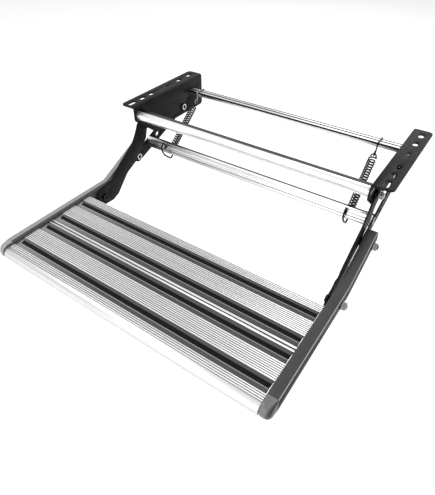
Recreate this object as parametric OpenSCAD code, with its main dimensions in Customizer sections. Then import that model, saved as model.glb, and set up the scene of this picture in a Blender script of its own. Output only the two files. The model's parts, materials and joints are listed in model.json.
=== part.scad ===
// Caravan pull out step, one tread, drawn in the open position.
// Millimetres. X runs across the tread, the user stands on the -Y side, Z is up.
// The origin lies midway between the two round locating holes,
// on the top faces of the two mounting flanges.

/* [Tread] */
// Tread width between the side rails
tread_w = 550; // [420:5:700]
// Tread depth from rear edge to nose
tread_d = 215; // [212:1:240]
// Tread thickness
tread_t = 28; // [25:0.5:28.5]
// Wall under the ribbed top
top_wall = 5; // [4.6:0.1:6]
// Other walls of the tread
tread_wall = 2.2; // [1.6:0.1:3]
// Plain land behind the first strip
rear_land = 16.7; // [12:0.1:17]
// Width of a grip strip
strip_w = 23.5; // [18:0.5:24]
// Wide ribbed land between the first two strips
wide_land = 33; // [26:0.5:34]
// Narrow ribbed land
thin_land = 13; // [9:0.5:14]
// Thickness of a grip strip
strip_t = 3; // [2:0.1:3.4]
// Height of a strip above the lands
strip_proud = 0.6; // [0.2:0.1:1.2]
// Width of the channel along a strip
strip_groove_w = 7; // [3:0.5:10]
// Depth of the channel along a strip
strip_groove_t = 1.4; // [0.6:0.1:1.8]
// Bare pocket at the left end of a strip
strip_short = 8; // [1:0.5:20]
// Bare pocket at the right end of a strip
strip_end = 2; // [0.5:0.5:5]
// Pitch of the fine ribs
rib_pitch = 3.7; // [2:0.1:4]
// Width of the grooves between ribs
rib_gap = 1.4; // [0.8:0.1:1.8]
// Width of the single groove along the narrow land
thin_gap = 2.6; // [1.4:0.1:4]
// Depth of the grooves between ribs
rib_h = 0.9; // [0.4:0.1:1.4]
// Ribs ahead of the last strip
nose_ribs = 4; // [2:1:7]

/* [Side rails] */
// Rail width
rail_w = 18.5; // [16:0.5:26]
// Rail height
rail_h = 29.5; // [28:0.5:32]
// Rail wall
rail_t = 2.5; // [1.6:0.1:3.2]
// Height of the rail above the tread
rail_proud = 2.5; // [1:0.1:3.5]
// Length of the moulded end cap; the last strip begins behind it
cap_len = 25.3; // [22:0.1:28]
// Length of the cap's spigot inside the rail
spigot_len = 6; // [3:0.5:7]
// Bend of the rail behind the front pivot
bend_back = 26; // [18:1:34]
// Depth of the rear pivot below the tail's top face
tail_cover = 22.8; // [18:0.2:23.5]
// Tail length past the rear pivot
tail_end = 20; // [14:0.5:30]
// Corner radius at the end of the tail
tail_r = 6; // [1:0.5:8]

/* [Folding linkage] */
// Rear link pivot behind the locating holes
rear_pivot_y = 32; // [20:1:45]
// Rear link pivot below the flange face
rear_pivot_z = 57; // [50:1:60]
// Forward reach of the open rear link
link_reach = 163; // [150:1:175]
// Drop of the open rear link
link_drop = 65; // [58:1:72]
// Horizontal distance between front and rear pivots
pivot_gap_y = 124; // [118:1:128]
// Height of the rail's rear pivot above its front pivot
pivot_gap_z = 43; // [38:1:46]
// Height of the front arm's upper pivot above the rear link's
front_pivot_rise = 15; // [10:1:18]
// Front pivot behind the tread's rear edge
tread_setback = 36; // [34:0.5:44]
// Front pivot below the tread's top face
front_pivot_depth = 20; // [17:0.5:21]
// Thickness of the rear link
link_t = 3; // [2.5:0.5:6]
// Thickness of the front arm
arm_t = 3; // [2.5:0.5:6]
// Gap between rail and link, and between link and arm
layer_gap = 0.5; // [0.4:0.1:2]
// Gap between arm and bracket
web_gap = 3.5; // [0.6:0.1:5]
// Half width of the link at its lower end
link_low_r = 13; // [10:0.5:16]
// Half width of the link at its upper end
link_top_r = 17; // [12:0.5:19]
// Radius of the front arm's eye
arm_eye_r = 20; // [12:0.5:21]
// Radius of the front arm's head
arm_head_r = 16; // [10:0.5:18]
// Window in the link, place along it from the lower pivot
window_along = 76; // [70:1:130]
// Window in the link, place above its middle line
window_rise = 0; // [0:0.5:8.5]
// Length of the window in the link
window_len = 11; // [8:0.5:14]
// Width of the window in the link
window_w = 10; // [2:0.5:10]

/* [Mounting brackets] */
// Sheet thickness
plate_t = 3; // [2:0.5:4]
// Flange width
flange_w = 38.5; // [34:0.5:50]
// Bracket in front of the locating holes
bracket_front = 136; // [133:1:145]
// Bracket behind the locating holes
bracket_back = 110; // [95:1:130]
// Web depth below the flange face
web_depth = 75; // [74:0.5:80]
// Web depth at the front edge
web_nose = 31; // [28:1:36]
// Length of the web's sloping front corner
web_slope = 55; // [40:1:60]
// Outer bend radius
bend_r = 5; // [4.5:0.5:8]
// Corner radius of the flange
flange_r = 9; // [1:0.5:12]
// Hole line from the web's inner face
hole_inset = 21.5; // [15:0.5:24]
// Locating hole diameter
locating_d = 7; // [5:0.5:9]
// Slot width
slot_w = 10; // [6:0.5:10]
// Slot at the front end, place before the locating hole
end_slot_y = 119; // [116:0.5:120]
// Slot at the front end, length
end_slot_len = 23; // [12:0.5:24]
// Outer slots, place before the locating hole
outer_slot_front = 86; // [82:0.5:88]
// Outer slots, place behind the locating hole
outer_slot_back = 83; // [70:0.5:88]
// Outer slots, length
outer_slot_len = 17; // [11:0.5:20]
// Inner slots, place before the locating hole
inner_slot_front = 56; // [40:0.5:60]
// Inner slots, place behind the locating hole
inner_slot_back = 44; // [30:0.5:50]
// Inner slots, length
inner_slot_len = 15; // [11:0.5:20]

/* [Cross rails] */
// Front rail, centre before the locating holes
front_rail_y = 122.5; // [118:0.5:124]
// Front rail, centre below the flange face
front_rail_z = 20; // [15:0.5:21]
// Front rail depth
front_rail_w = 22; // [20:0.5:24]
// Front rail height
front_rail_h = 20; // [16:0.5:20]
// Rear rail, centre behind the locating holes
rear_rail_y = 64; // [58:0.5:80]
// Rear rail, centre below the flange face
rear_rail_z = 26.5; // [24:0.5:36]
// Rear rail depth
rear_rail_w = 24; // [18:0.5:26]
// Rear rail height
rear_rail_h = 8; // [7:0.5:12]
// Lower bar, centre behind the lower rear pivot
low_bar_y = 41; // [40:0.5:46]
// Lower bar, centre above the lower rear pivot
low_bar_z = 22.5; // [21:0.5:23]
// Lower bar depth
low_bar_w = 12; // [11:0.5:16]
// Lower bar height
low_bar_h = 24; // [22:0.5:26]
// Lean of the lower bar, in degrees
low_bar_lean = 10; // [0:1:15]
// Wall of the front rail and the lower bar
rail_wall = 2; // [1.2:0.1:2.4]
// Width of the fine grooves on the cross rails
line_w = 1.2; // [0.5:0.1:1.6]
// Depth of the fine grooves on the cross rails
line_t = 0.8; // [0.2:0.1:0.9]
// Width of the sunk stripe along the front rail's rear edge
stripe_w = 9.5; // [5:0.5:11]

/* [Springs] */
// Wire diameter
spring_wire = 2.4; // [1.8:0.1:2.8]
// Outer diameter of the coil
spring_od = 17; // [14:0.5:19]
// Curls of each spring
spring_curls = 20; // [16:1:26]
// Radius of the end loops
spring_loop_r = 5; // [4.5:0.1:5.5]
// Upper end of the left spring, from the bracket's inner face
left_top_in = 30.5; // [24:0.5:60]
// Lower end of the left spring, from the bracket's inner face
left_foot_in = 45.5; // [30:0.5:60]
// Upper end of the right spring, from the bracket's inner face
right_top_in = 47; // [24:0.5:65]
// Lower end of the right spring, from the bracket's inner face
right_foot_in = 38.5; // [30:0.5:60]
// Wire diameter of the hooks
hook_wire = 3; // [2.2:0.1:3.4]
// Inner radius of the hooks' eyes
hook_eye_r = 3; // [2.8:0.1:3.4]
// Eye of the upper hooks below the rear rail
hook_drop = 11; // [8:0.5:14]
// Spring end behind the middle of the lower bar
spring_foot_back = 14; // [13:0.5:20]
// Spring end below the middle of the lower bar
spring_foot_drop = 13.5; // [10:0.5:16]

/* [Fasteners] */
// Pivot bolt diameter
bolt_d = 8; // [6:0.5:9]
// Radial play of a bolt in its bore
bolt_play = 0.05; // [0.02:0.01:0.1]
// Wall of the bushes on the lower pivots
bush_wall = 3; // [2:0.5:4]
// Wall of the spacers on the upper rear pivots
spacer_wall = 5; // [3:0.5:6]
// Width of a nut across its corners
nut_d = 15; // [13:0.5:17]
// Height of a nut
nut_h = 6.5; // [4:0.5:8]
// Washer diameter
washer_d = 17; // [15:0.5:19]
// Washer thickness
washer_t = 1.5; // [1:0.1:2]
// Height of a pivot bolt's head
bolt_head_h = 4; // [2.5:0.1:4.5]
// Screw diameter
screw_d = 4; // [3:0.1:4.4]
// Screw head diameter
screw_head_d = 7.6; // [6:0.1:8]
// Height of a screw head
screw_head_h = 2; // [1.4:0.1:2]
// Screw length under its head
screw_len = 16; // [10:0.5:25]

/* [Hidden] */
$fn = 48;

// Layers across one side, from the rail inwards
half_w = tread_w / 2;
link_x = half_w - layer_gap - link_t;
arm_x = link_x - layer_gap - arm_t;
web_out = arm_x - web_gap;
web_in = web_out - plate_t;
rail_out = half_w + rail_w;

// Ends of the springs, across the step
left_top_x = left_top_in - web_in;
left_foot_x = left_foot_in - web_in;
right_top_x = web_in - right_top_in;
right_foot_x = web_in - right_foot_in;

// Pivots of the open step, as [Y, Z]
top_rear = [rear_pivot_y, -rear_pivot_z];
low_rear = top_rear - [link_reach, link_drop];
top_front = top_rear + [-pivot_gap_y, front_pivot_rise];
low_front = low_rear - [pivot_gap_y, pivot_gap_z];
link_vec = top_rear - low_rear;
arm_vec = top_front - low_front;
arm_len = norm(arm_vec);
arm_a = atan2(arm_vec.y, arm_vec.x);

// Both swing from one place to its mirror about the vertical
fold_a = 180 - 2 * atan2(link_vec.y, link_vec.x);
arm_turn = 180 - 2 * arm_a;

// Tread and rails, as Y and Z
deck_rear = low_front.x - tread_setback;
deck_top = low_front.y + front_pivot_depth;
deck_nose = deck_rear - tread_d;
rail_top = deck_top + rail_proud;
seam_y = deck_nose + cap_len;
bend_y = low_front.x + bend_back;
bend_to_pivot = low_rear - [bend_y, rail_top];
tail_a = atan2(bend_to_pivot.y, bend_to_pivot.x) + asin(tail_cover / norm(bend_to_pivot));
tail_len = sqrt(pow(norm(bend_to_pivot), 2) - pow(tail_cover, 2)) + tail_end;
strip_s = [
  rear_land,
  rear_land + strip_w + wide_land,
  rear_land + 2 * strip_w + wide_land + thin_land,
  tread_d - cap_len - strip_w
];
thin_mid = (strip_s[1] + strip_w + strip_s[2]) / 2;
lands = [
  [0, rear_land],
  [strip_s[0] + strip_w, strip_s[1]],
  [strip_s[2] + strip_w, strip_s[3]],
  [strip_s[3] + strip_w, strip_s[3] + strip_w + nose_ribs * rib_pitch + rib_pitch / 2]
];
pocket_t = strip_t - strip_proud;
strip_play = 0.15;
wall_s = [for (i = [0, 2, 3]) strip_s[i] + strip_w / 2];
all_wall_s = [for (s = strip_s) s + strip_w / 2];
boss_drop = tread_t * 0.46;
boss_r = screw_d / 2 + 2.4;

// Fasteners
shank_r = bolt_d / 2;
bore_r = shank_r + bolt_play;
screw_r = screw_d / 2;
screw_bore_r = screw_r + bolt_play;
bush_r = shank_r + bush_wall;
stop_gap = 0.3;
head_t = 3.5;
dish_r = bush_r - 2.4;
dish_t = 1.6;

// Lower bar, rear rail and hooks
bar_c = low_rear + [low_bar_y, low_bar_z];
hook_r = hook_wire / 2;
eye_mid_r = hook_eye_r + hook_r;
hook_seat = hook_r + stop_gap;
spring_r = spring_wire / 2;
coil_r = spring_od / 2 - spring_r;
eye_slack = hook_eye_r - spring_r - stop_gap;
rear_rail_r = 1;
rear_rail_front = rear_rail_y - rear_rail_w / 2;
rear_rail_top = -rear_rail_z + rear_rail_h / 2;
rear_rail_low = -rear_rail_z - rear_rail_h / 2;
top_eye = [rear_rail_front - hook_seat - eye_mid_r, rear_rail_low - hook_drop];
foot = bar_c + [spring_foot_back, -spring_foot_drop];
pull = unit(top_eye - foot);
anchor = top_eye - eye_slack * pull;
low_eye = foot - eye_slack * pull;

// How far the springs turn and shorten between open and folded
folded_foot = top_rear + turn(foot - top_rear, fold_a);
open_reach = foot - anchor;
folded_reach = folded_foot - anchor;
spring_turn = atan2(folded_reach.y, folded_reach.x) + 360 - atan2(open_reach.y, open_reach.x) - 360;
spring_keep = norm(folded_reach) / norm(open_reach);

function unit(v) = v / norm(v);
function turn(p, a) = [p.x * cos(a) - p.y * sin(a), p.x * sin(a) + p.y * cos(a)];

// Polygon corners [x, y, radius] turned into short arcs
function corner(a, b, c, n) =
  let (u = unit([a.x, a.y] - [b.x, b.y]), v = unit([c.x, c.y] - [b.x, b.y]))
  let (half = acos(u * v) / 2, m = unit(u + v))
  let (t = b.z / tan(half), mid = [b.x, b.y] + m * b.z / sin(half))
  let (p = [b.x, b.y] + u * t - mid, q = [b.x, b.y] + v * t - mid)
  let (pa = atan2(p.y, p.x), qa = atan2(q.y, q.x))
  let (d = qa - pa > 180 ? qa - pa - 360 : qa - pa < -180 ? qa - pa + 360 : qa - pa)
  [for (i = [0 : n]) mid + b.z * [cos(pa + d * i / n), sin(pa + d * i / n)]];
function rounded(p, n = 6) = [
  for (i = [0 : len(p) - 1])
    let (a = p[(i + len(p) - 1) % len(p)], b = p[i], c = p[(i + 1) % len(p)])
    each b.z == 0 ? [[b.x, b.y]] : corner(a, b, c, n)
];

// A drawing in Y and Z given a thickness along X
module slab(x0, t) translate([x0, 0, 0]) rotate([90, 0, 90]) linear_extrude(t) children();
module rod(p, x0, x1, r) translate([x0, p.x, p.y]) rotate([0, 90, 0]) cylinder(x1 - x0, r, r);
module hex(p, x0, x1, r) translate([x0, p.x, p.y]) rotate([0, 90, 0]) cylinder(x1 - x0, r, r, $fn = 6);
module left() mirror([1, 0, 0]) children();
module both() {
  children();
  left() children();
}

// Round wire along a path: one unbroken tube of six sides
function tangents(p) = [
  for (i = [0 : len(p) - 1]) unit(p[min(i + 1, len(p) - 1)] - p[max(i - 1, 0)])
];
function square_to(n, t) = unit(n - (n * t) * t);
function normals(t, n0) = [
  for (i = 0, n = square_to(n0, t[0]); i < len(t); i = i + 1, n = square_to(n, t[min(i, len(t) - 1)])) n
];
module wire(p, r, n0, sides = 6) {
  t = tangents(p);
  n = normals(t, n0);
  rings = [
    for (i = [0 : len(p) - 1], k = [0 : sides - 1])
      p[i] + r * (n[i] * cos(360 * k / sides) + cross(t[i], n[i]) * sin(360 * k / sides))
  ];
  last = (len(p) - 1) * sides;
  faces = [
    for (k = [1 : sides - 2]) [0, k, k + 1],
    for (k = [1 : sides - 2]) [last, last + k + 1, last + k],
    for (i = [0 : len(p) - 2], k = [0 : sides - 1])
      each let (a = i * sides + k, b = i * sides + (k + 1) % sides)
        [[a, a + sides, b], [b, a + sides, b + sides]]
  ];
  polyhedron(rings, faces);
}
// Smooth path through points, with n steps from one to the next
function smooth(p, n) = [
  for (i = [0 : len(p) - 2], k = [0 : n - 1])
    let (a = p[max(i - 1, 0)], b = p[i], c = p[i + 1], d = p[min(i + 2, len(p) - 1)], t = k / n)
    0.5 * (2 * b + (c - a) * t + (2 * a - 5 * b + 4 * c - d) * t * t + (3 * b - a - 3 * c + d) * t * t * t),
  p[len(p) - 1]
];
function arc(mid, r, a0, a1, n) = [
  for (i = [0 : n]) mid + r * [cos(a0 + (a1 - a0) * i / n), sin(a0 + (a1 - a0) * i / n)]
];
function at_x(x, p) = [for (q = p) [x, q.x, q.y]];

// Mounting brackets
module slot(y, length) {
  r = slot_w / 2;
  translate([web_in + hole_inset, y - (length - slot_w) / 2, -plate_t - 1]) {
    cylinder(plate_t + 2, r, r);
    translate([0, length - slot_w, 0]) cylinder(plate_t + 2, r, r);
    translate([-r, 0, 0]) cube([slot_w, length - slot_w, plate_t + 2]);
  }
}
module bracket() {
  difference() {
    intersection() {
      translate([0, bracket_back, 0]) rotate([90, 0, 0]) linear_extrude(bracket_front + bracket_back) {
        translate([web_in + bend_r, -plate_t]) square([flange_w - bend_r, plate_t]);
        translate([web_in, -web_depth]) square([plate_t, web_depth - bend_r]);
        intersection() {
          translate([web_in + bend_r, -bend_r]) difference() {
            circle(bend_r);
            circle(bend_r - plate_t);
          }
          translate([web_in, -bend_r]) square(bend_r);
        }
      }
      slab(web_in - 1, flange_w + 2) polygon(rounded([
        [-bracket_front, 1, 0],
        [-bracket_front, -web_nose, flange_r],
        [web_slope - bracket_front, -web_depth, flange_r],
        [bracket_back, -web_depth, flange_r],
        [bracket_back, 1, 0]
      ]));
      translate([0, 0, -web_depth - 1]) linear_extrude(web_depth + 2) polygon(rounded([
        [web_in - 1, -bracket_front, 0],
        [web_in + flange_w, -bracket_front, flange_r],
        [web_in + flange_w, bracket_back, flange_r],
        [web_in - 1, bracket_back, 0]
      ]));
    }
    translate([web_in + hole_inset, 0, -plate_t - 1]) cylinder(plate_t + 2, locating_d / 2, locating_d / 2);
    slot(-end_slot_y, end_slot_len);
    slot(-outer_slot_front, outer_slot_len);
    slot(outer_slot_back, outer_slot_len);
    slot(-inner_slot_front, inner_slot_len);
    slot(inner_slot_back, inner_slot_len);
    rod(top_rear, web_in - 1, web_out + 1, bore_r);
    rod(top_front, web_in - 1, web_out + 1, bore_r);
    for (p = concat(front_rail_fix, rear_rail_fix)) flush_hole(p, web_in - 1, web_out);
  }
}
module left_bracket() color("#303132") left() bracket();
module right_bracket() color("#303132") bracket();

// Flush screws: their heads end level with the outer face
front_rail_fix = [for (s = [-1, 1]) [-front_rail_y + s * front_rail_w / 5, -front_rail_z]];
rear_rail_fix = [[rear_rail_y, -rear_rail_z]];
low_bar_fix = [for (s = [-1, 1]) bar_c + turn([0, s * low_bar_h / 6], -low_bar_lean)];
module flush_cone(p, x_face, grow) {
  translate([x_face - screw_head_h, p.x, p.y]) rotate([0, 90, 0])
    cylinder(screw_head_h, screw_r + grow, screw_head_d / 2 + grow);
}
module flush_hole(p, x0, x_face) {
  rod(p, x0, x_face + 1, screw_bore_r);
  flush_cone(p, x_face, bolt_play);
}
module flush_screw(p, x_face) {
  difference() {
    union() {
      rod(p, x_face - screw_len, x_face - screw_head_h / 2, screw_r);
      flush_cone(p, x_face, 0);
    }
    hex(p, x_face - screw_head_h / 2, x_face + 1, screw_r * 0.7);
  }
}

// Cross rails, with the places of their grooves from the middle
front_line = -front_rail_w * 0.36;
rear_lines = [-rear_rail_w * 0.4, rear_rail_w * 0.12, rear_rail_w * 0.42];
bar_lines = [for (k = [0.38, 0.05, -0.17, -0.44]) k * low_bar_h];
module hollow(w, h, r_front, r_rear, wall) {
  difference() {
    polygon(rounded([
      [-w / 2, -h / 2, r_front], [w / 2, -h / 2, r_rear],
      [w / 2, h / 2, r_rear], [-w / 2, h / 2, r_front]
    ], 8));
    polygon(rounded([
      [wall - w / 2, wall - h / 2, r_front - wall], [w / 2 - wall, wall - h / 2, r_rear - wall],
      [w / 2 - wall, h / 2 - wall, r_rear - wall], [wall - w / 2, h / 2 - wall, r_front - wall]
    ], 8));
  }
}
// Screw ports on a web across the hollow, with their bores
module ports(fix, w) {
  difference() {
    union() {
      for (p = fix) translate(p) circle(boss_r);
      translate([-w / 2 + rail_wall / 2, -rail_wall / 2]) square([w - rail_wall, rail_wall]);
    }
    for (p = fix) translate(p) circle(screw_bore_r);
  }
}
module front_rail() {
  fix = [for (s = [-1, 1]) [s * front_rail_w / 5, 0]];
  color("#d9dadb") slab(-web_in, 2 * web_in) translate([-front_rail_y, -front_rail_z]) {
    difference() {
      hollow(front_rail_w, front_rail_h, front_rail_h * 0.42, rail_wall * 1.5, rail_wall);
      translate([front_rail_w / 2 - stripe_w, front_rail_h / 2 - line_t]) square([stripe_w + 1, line_t + 1]);
      translate([front_line - line_w / 2, front_rail_h / 2 - line_t]) square([line_w, line_t + 1]);
    }
    ports(fix, front_rail_w);
  }
}
// The rear rail is a solid flat bar, drilled at its ends
module rear_rail() {
  color("#d9dadb") difference() {
    slab(-web_in, 2 * web_in) translate([rear_rail_y, -rear_rail_z]) difference() {
      polygon(rounded([for (c = [[-1, -1], [1, -1], [1, 1], [-1, 1]])
        [c.x * rear_rail_w / 2, c.y * rear_rail_h / 2, rear_rail_r]]));
      for (y = rear_lines) translate([y - line_w / 2, rear_rail_h / 2 - line_t]) square([line_w, line_t + 1]);
    }
    both() rod(rear_rail_fix[0], web_out - screw_len - 1, web_in + 1, screw_bore_r);
  }
}
module lower_bar() {
  fix = [for (s = [-1, 1]) [0, s * low_bar_h / 6]];
  color("#d9dadb") slab(-link_x, 2 * link_x) translate(bar_c) rotate(-low_bar_lean) {
    difference() {
      hollow(low_bar_w, low_bar_h, rail_wall * 1.2, rail_wall * 1.2, rail_wall);
      for (z = bar_lines) translate([-low_bar_w / 2 - 1, z - line_w / 2]) square([line_t + 1, line_w]);
    }
    rotate(90) ports([for (p = fix) [p.y, p.x]], low_bar_h);
  }
}
module front_rail_screws() color("#c9cbcc") both() for (p = front_rail_fix) flush_screw(p, web_out);
module rear_rail_screws() color("#c9cbcc") both() for (p = rear_rail_fix) flush_screw(p, web_out);
module lower_bar_screws() color("#c9cbcc") both() for (p = low_bar_fix) flush_screw(p, link_x + link_t);

// Upper pivots of the rear links: head, spacer in the arm's layer, washer and nut
module rear_pivot_bolts() {
  end_x = link_x + link_t + layer_gap / 2 + washer_t + nut_h + 1;
  color("#c9cbcc") both() difference() {
    union() {
      rod(top_rear, web_in - head_t, web_in, bush_r);
      rod(top_rear, web_in, end_x, shank_r);
    }
    rod(top_rear, web_in - head_t - 1, web_in - head_t + dish_t, dish_r);
  }
}
module rear_pivot_spacers() {
  color("#b4b6b8") both() difference() {
    rod(top_rear, web_out, link_x - bolt_play, shank_r + spacer_wall);
    rod(top_rear, web_out - 1, link_x + 1, bore_r);
  }
}
module nut_and_washer(p, x0) {
  difference() {
    union() {
      rod(p, x0, x0 + washer_t, washer_d / 2);
      hex(p, x0 + washer_t, x0 + washer_t + nut_h, nut_d / 2);
    }
    rod(p, x0 - 1, x0 + washer_t + nut_h + 1, bore_r);
  }
}
module rear_pivot_nuts() color("#c9cbcc") both() nut_and_washer(top_rear, link_x + link_t + layer_gap / 2);
// Front pivots in the brackets, with a shoulder up to the arm, which carries the outer half
module front_pivot_bolts() {
  color("#c9cbcc") both() difference() {
    union() {
      rod(top_front, web_in - head_t, web_in, bush_r);
      rod(top_front, web_in, web_out, shank_r);
      rod(top_front, web_out, arm_x - stop_gap, shank_r + spacer_wall);
    }
    rod(top_front, web_in - head_t - 1, web_in - head_t + dish_t, dish_r);
  }
}

// Rear links
module on_link()
  translate([0, low_rear.x, low_rear.y]) rotate([atan2(link_vec.y, link_vec.x), 0, 0]) children();
module rear_link() {
  d = norm(link_vec);
  tilt = acos((link_low_r - link_top_r) / d);
  half = (window_len - window_w) / 2;
  difference() {
    on_link() slab(link_x, link_t) difference() {
      polygon(concat(
        arc([0, 0], link_low_r, tilt, 360 - tilt, 18),
        arc([d, 0], link_top_r, -tilt, tilt, 18)
      ));
      translate([window_along, window_rise]) polygon(concat(
        arc([-half, 0], window_w / 2, 90, 270, 10),
        arc([half, 0], window_w / 2, -90, 90, 10)
      ));
    }
    rod(low_rear, link_x - 1, link_x + link_t + 1, bore_r);
    rod(top_rear, link_x - 1, link_x + link_t + 1, bore_r);
    for (p = low_bar_fix) flush_hole(p, link_x - 1, link_x + link_t);
  }
}
module left_rear_link() color("#37393a") left() rear_link();
module right_rear_link() color("#37393a") rear_link();

// Front arms. The outline is given from the eye, and from the head for its upper half.
// The eye's notch clears the tread's rear corner when folded.
notch_a = arm_a - atan2(front_pivot_depth, tread_setback);
notch = norm([tread_setback, front_pivot_depth]) * [cos(notch_a), sin(notch_a)];
head = [arm_len, 0];
rear_edge = [head + [-35, -27.8], head + [-92.5, -34.6]];
arm_outline = concat(
  [for (p = [[-14, 18], [-28.2, 18.7], [-36.8, 14.2], [-47.3, 10], [-58.3, 6.2], [-69.9, 3.9]]) head + p],
  [[107, 6.1], [73.9, 7.3], [50.5, 8.2]],
  [for (p = [[2.4, -0.7], [-0.8, -2.2], [-3.3, 1.8], [-9, 7]]) notch + p],
  [[13, 14], [0, 0], [-12, -15.5], [6, -31], [24.7, -36.2], [70.9, -29.7], [85, -29.2]],
  [rear_edge[1], rear_edge[0]],
  [for (p = [[-19, -15.9], [-6, -14.2], [10, 11]]) head + p]
);
edge_dir = unit(rear_edge[1] - rear_edge[0]);
stop_at = turn(low_rear - low_front, -arm_a);
stop_r = abs(cross(edge_dir, stop_at - rear_edge[0])) - stop_gap;
module front_arm() {
  difference() {
    union() {
      slab(arm_x, arm_t) translate(low_front) rotate(arm_a) polygon(arm_outline);
      rod(low_front, arm_x, arm_x + arm_t, arm_eye_r);
      rod(top_front, arm_x, arm_x + arm_t, arm_head_r);
    }
    rod(low_front, arm_x - 1, arm_x + arm_t + 1, bore_r);
    rod(top_front, arm_x - 1, arm_x + arm_t + 1, bore_r);
  }
}
module arm_stud() rod(top_front, arm_x, arm_x + arm_t + washer_t + nut_h + 1, shank_r);
module arm_nut() nut_and_washer(top_front, arm_x + arm_t);
module left_front_arm() color("#2c2d2e") left() front_arm();
module right_front_arm() color("#2c2d2e") front_arm();
module left_arm_stud() color("#c9cbcc") left() arm_stud();
module right_arm_stud() color("#c9cbcc") arm_stud();
module left_arm_nut() color("#c9cbcc") left() arm_nut();
module right_arm_nut() color("#c9cbcc") arm_nut();

// Tread: a hollow extrusion with ribbed lands and pockets for the strips
module deck_outline() {
  nose_r = tread_t / 2;
  translate([deck_nose + nose_r, deck_top - tread_t]) square([tread_d - nose_r, tread_t]);
  translate([deck_nose + nose_r, deck_top - nose_r]) circle(nose_r);
}
module chamber(s0, s1) {
  translate([deck_rear - s1, deck_top - tread_t + tread_wall])
    square([s1 - s0, tread_t - tread_wall - top_wall]);
}
module deck_section() {
  difference() {
    union() {
      difference() {
        deck_outline();
        chamber(tread_wall, all_wall_s[0] - tread_wall / 2);
        for (i = [0 : 2]) chamber(all_wall_s[i] + tread_wall / 2, all_wall_s[i + 1] - tread_wall / 2);
        chamber(all_wall_s[3] + tread_wall / 2, tread_d - tread_t / 2);
      }
      for (s = wall_s) translate([deck_rear - s, deck_top - boss_drop]) circle(boss_r);
    }
    for (s = wall_s) translate([deck_rear - s, deck_top - boss_drop]) circle(screw_bore_r);
    for (land = lands) rib_grooves(land);
    rib_groove(thin_mid, thin_gap);
  }
}
module rib_groove(s, gap) {
  translate([deck_rear - s, deck_top]) polygon([[-gap / 2, 0.01], [0, -rib_h], [gap / 2, 0.01]]);
}
module rib_grooves(land) {
  count = floor((land[1] - land[0]) / rib_pitch);
  first = (land[0] + land[1] - (count - 1) * rib_pitch) / 2;
  for (i = [0 : count - 1]) rib_groove(first + i * rib_pitch, rib_gap);
}
module tread_deck() {
  color("#dedfe0") difference() {
    slab(-half_w, tread_w) deck_section();
    for (s = strip_s) translate([-half_w - 1, deck_rear - s - strip_w, deck_top - pocket_t])
      cube([tread_w + 2, strip_w, pocket_t + 1]);
  }
}
module grip_strip(s) {
  w = strip_w - 2 * strip_play;
  chamfer = strip_proud / 2;
  color("#1d1e1f") slab(strip_short - half_w, tread_w - strip_short - strip_end)
    translate([deck_rear - s - strip_w + strip_play, deck_top - pocket_t]) polygon([
      [0, 0], [w, 0], [w, strip_t - chamfer], [w - chamfer, strip_t],
      [(w + strip_groove_w) / 2, strip_t], [(w + strip_groove_w) / 2 - chamfer, strip_t - strip_groove_t],
      [(w - strip_groove_w) / 2 + chamfer, strip_t - strip_groove_t], [(w - strip_groove_w) / 2, strip_t],
      [chamfer, strip_t], [0, strip_t - chamfer]
    ]);
}
module grip_strip_1() grip_strip(strip_s[0]);
module grip_strip_2() grip_strip(strip_s[1]);
module grip_strip_3() grip_strip(strip_s[2]);
module grip_strip_4() grip_strip(strip_s[3]);

// Side rails: channels open below, bent upwards behind the tread
function rail_point(along, down) = [bend_y, rail_top] + turn([along, -down], tail_a);
module rail_side(top_in, low_out, end_out, r) {
  polygon(rounded([
    [seam_y - end_out, rail_top - top_in, 0],
    [bend_y + top_in * tan(tail_a / 2), rail_top - top_in, 0],
    concat(rail_point(tail_len + end_out, top_in), r),
    concat(rail_point(tail_len + end_out, rail_h + low_out), r),
    [bend_y + (rail_h + low_out) * tan(tail_a / 2), rail_top - rail_h - low_out, 0],
    [seam_y - end_out, rail_top - rail_h - low_out, 0]
  ]));
}
module side_rail() {
  difference() {
    slab(half_w, rail_w) rail_side(0, 0, 0, tail_r);
    slab(half_w + rail_t, rail_w - 2 * rail_t) rail_side(rail_t, 5, 5, 0);
    rod(low_front, half_w - 1, rail_out + 1, bore_r);
    rod(low_rear, half_w - 1, rail_out + 1, bore_r);
    for (s = wall_s)
      rod([deck_rear - s, deck_top - boss_drop], half_w - 1, half_w + rail_t + 1, screw_bore_r);
  }
}
module end_cap() {
  nose_r = rail_h / 2;
  inset = rail_t + strip_play;
  slab(half_w, rail_w) {
    translate([deck_nose + nose_r, rail_top - rail_h]) square([cap_len - nose_r, rail_h]);
    intersection() {
      translate([deck_nose + nose_r, rail_top - nose_r]) circle(nose_r);
      translate([deck_nose, rail_top - rail_h]) square([nose_r, rail_h]);
    }
  }
  translate([half_w + inset, seam_y - 1, rail_top - rail_h + 1])
    cube([rail_w - 2 * inset, spigot_len + 1, rail_h - inset - 1]);
}
module left_side_rail() color("#66686a") left() side_rail();
module right_side_rail() color("#66686a") side_rail();
module left_end_cap() color("#8f9193") left() end_cap();
module right_end_cap() color("#8f9193") end_cap();
module deck_screws() {
  color("#c9cbcc") both() for (s = wall_s) {
    p = [deck_rear - s, deck_top - boss_drop];
    x_seat = half_w + rail_t;
    difference() {
      union() {
        rod(p, x_seat - screw_len, x_seat, screw_r);
        rod(p, x_seat, x_seat + screw_head_h, screw_head_d / 2);
      }
      hex(p, x_seat + screw_head_h / 2, x_seat + screw_head_h + 1, screw_r * 0.7);
    }
  }
}

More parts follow.
